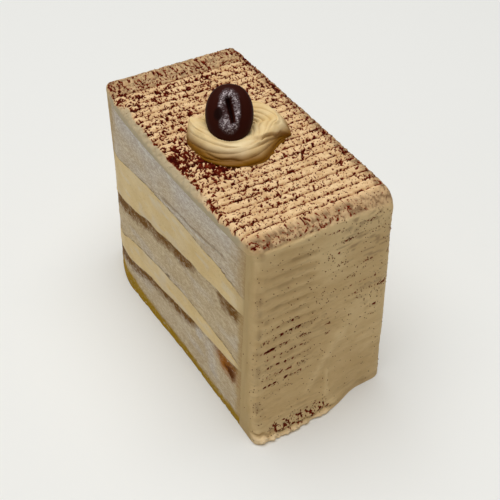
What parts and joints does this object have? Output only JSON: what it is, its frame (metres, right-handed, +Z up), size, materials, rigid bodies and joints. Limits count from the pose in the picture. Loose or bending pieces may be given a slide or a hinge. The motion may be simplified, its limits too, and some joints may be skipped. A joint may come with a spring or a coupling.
{
  "type": "slice of coffee cake",
  "caption": "Block slice of layered coffee cake with cream fillings, a combed cream coat over the top and both ends, a piped rosette and a chocolate bean on top.",
  "frame": {"origin": "on the floor under the middle of the slice, at the bottom centre of its bounding box", "axes": "+Z up; +Y along the slice from the front coated end to the back one; +X across it from one cut face to the other, along the comb's lines"},
  "size_m": [0.0468, 0.0894, 0.0753],
  "materials": {
    "sponge": "moist coffee sponge, matt, cut smooth",
    "filling": "coffee cream, soft satin",
    "icing": "combed coffee cream dusted with cocoa, matt",
    "piped_cream": "piped coffee cream, satin",
    "chocolate": "dark chocolate, glossy"
  },
  "bodies": {
    "root": {"sponge_bottom": "sponge", "filling_lower": "filling", "sponge_middle": "sponge", "filling_upper": "filling", "sponge_top": "sponge", "icing": "icing", "rosette": "piped_cream", "bean": "chocolate"}
  },
  "joints": []
}
